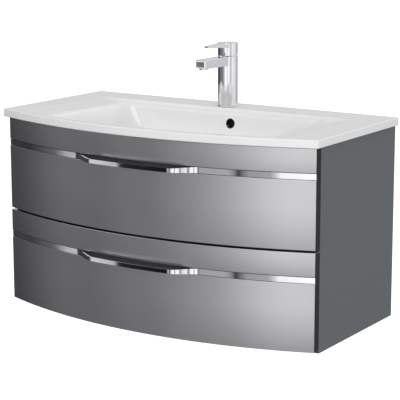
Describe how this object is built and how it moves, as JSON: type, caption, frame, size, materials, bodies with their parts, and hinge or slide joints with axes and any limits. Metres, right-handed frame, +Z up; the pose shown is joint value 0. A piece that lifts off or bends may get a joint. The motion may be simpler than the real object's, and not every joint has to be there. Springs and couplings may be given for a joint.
{
  "type": "bathroom vanity cabinet",
  "caption": "Wall-hung bathroom vanity: bowed metallic drawer fronts with chrome handle strips, white cast basin with bowed front edge, single-lever mixer, waste and trap.",
  "frame": {"origin": "middle of the back face of the rear top rail, which lies on the wall", "axes": "+X to the right of someone facing the vanity, +Y into the wall, +Z up"},
  "size_m": [0.92, 0.5119, 0.673],
  "materials": {
    "metallic_front": "grey metallic high-gloss foil on curved fibreboard",
    "carcass_board": "matt anthracite melamine on chipboard",
    "drawer_board": "matt anthracite melamine, faintly textured",
    "handle_chrome": "polished chrome",
    "tap_chrome": "polished chrome plate",
    "basin_white": "white gloss cast mineral",
    "zinc_steel": "bright zinc plate",
    "brass": "turned brass",
    "white_plastic": "white moulded polypropylene",
    "grey_plastic": "grey moulded plastic",
    "black_rubber": "matt black rubber"
  },
  "bodies": {
    "cabinet": {"left_side_panel": "carcass_board", "right_side_panel": "carcass_board", "bottom_panel": "carcass_board", "rear_top_rail": "carcass_board", "rear_bottom_rail": "carcass_board", "front_cross_rail": "carcass_board", "left_hanger": "zinc_steel", "right_hanger": "zinc_steel", "left_wall_plate": "zinc_steel", "right_wall_plate": "zinc_steel", "upper_left_outer_runner": "zinc_steel", "upper_right_outer_runner": "zinc_steel", "lower_left_outer_runner": "zinc_steel", "lower_right_outer_runner": "zinc_steel", "basin": "basin_white", "tap_body": "tap_chrome", "tap_base_ring": "tap_chrome", "tap_aerator": "tap_chrome", "tap_cartridge": "white_plastic", "tap_cartridge_nut": "brass", "tap_stud": "zinc_steel", "tap_washer": "zinc_steel", "tap_nut": "brass", "hot_inlet": "brass", "cold_inlet": "brass", "waste_body": "tap_chrome", "waste_seal": "black_rubber", "waste_nut": "grey_plastic", "trap_inlet_nut": "grey_plastic", "trap_inlet_pipe": "white_plastic", "trap_cup": "white_plastic", "trap_cup_nut": "grey_plastic", "trap_outlet_pipe": "white_plastic", "wall_rosette": "white_plastic"},
    "upper_drawer": {"upper_front": "metallic_front", "upper_handle": "handle_chrome", "upper_left_side": "drawer_board", "upper_right_side": "drawer_board", "upper_left_back": "drawer_board", "upper_right_back": "drawer_board", "upper_bottom": "drawer_board", "upper_pipe_surround": "grey_plastic", "upper_left_drawer_runner": "zinc_steel", "upper_right_drawer_runner": "zinc_steel"},
    "lower_drawer": {"lower_front": "metallic_front", "lower_handle": "handle_chrome", "lower_left_side": "drawer_board", "lower_right_side": "drawer_board", "lower_back": "drawer_board", "lower_bottom": "drawer_board", "lower_left_drawer_runner": "zinc_steel", "lower_right_drawer_runner": "zinc_steel"},
    "upper_left_middle": {"upper_left_middle_runner": "zinc_steel"},
    "upper_right_middle": {"upper_right_middle_runner": "zinc_steel"},
    "lower_left_middle": {"lower_left_middle_runner": "zinc_steel"},
    "lower_right_middle": {"lower_right_middle_runner": "zinc_steel"},
    "tap_swivel": {"tap_swivel_collar": "white_plastic"},
    "tap_handle": {"tap_lever": "tap_chrome", "tap_spindle": "brass"},
    "waste_plug": {"waste_plug": "tap_chrome"}
  },
  "joints": [
    {"name": "upper_drawer_slide", "type": "slide", "parent": "cabinet", "child": "upper_drawer", "axis": [0, -1, 0], "range_m": [0, 0.33]},
    {"name": "lower_drawer_slide", "type": "slide", "parent": "cabinet", "child": "lower_drawer", "axis": [0, -1, 0], "range_m": [0, 0.33]},
    {"name": "upper_left_middle_slide", "type": "slide", "parent": "cabinet", "child": "upper_left_middle", "axis": [0, -1, 0], "range_m": [0, 0.165]},
    {"name": "upper_right_middle_slide", "type": "slide", "parent": "cabinet", "child": "upper_right_middle", "axis": [0, -1, 0], "range_m": [0, 0.165]},
    {"name": "lower_left_middle_slide", "type": "slide", "parent": "cabinet", "child": "lower_left_middle", "axis": [0, -1, 0], "range_m": [0, 0.165]},
    {"name": "lower_right_middle_slide", "type": "slide", "parent": "cabinet", "child": "lower_right_middle", "axis": [0, -1, 0], "range_m": [0, 0.165]},
    {"name": "tap_temperature_swivel", "type": "hinge", "parent": "cabinet", "child": "tap_swivel", "pos_m": [0, -0.064, 0.201], "axis": [0, 0, 1], "range_deg": [-45, 45]},
    {"name": "tap_flow_lift", "type": "hinge", "parent": "tap_swivel", "child": "tap_handle", "pos_m": [0, -0.064, 0.201], "axis": [-1, 0, 0], "range_deg": [0, 20]},
    {"name": "waste_plug_press", "type": "slide", "parent": "cabinet", "child": "waste_plug", "axis": [0, 0, -1], "range_m": [0, 0.0055]}
  ],
  "couplings": [
    {"joint": "upper_left_middle_slide", "follows": "upper_drawer_slide", "ratio": 0.5},
    {"joint": "upper_right_middle_slide", "follows": "upper_drawer_slide", "ratio": 0.5},
    {"joint": "lower_left_middle_slide", "follows": "lower_drawer_slide", "ratio": 0.5},
    {"joint": "lower_right_middle_slide", "follows": "lower_drawer_slide", "ratio": 0.5}
  ]
}
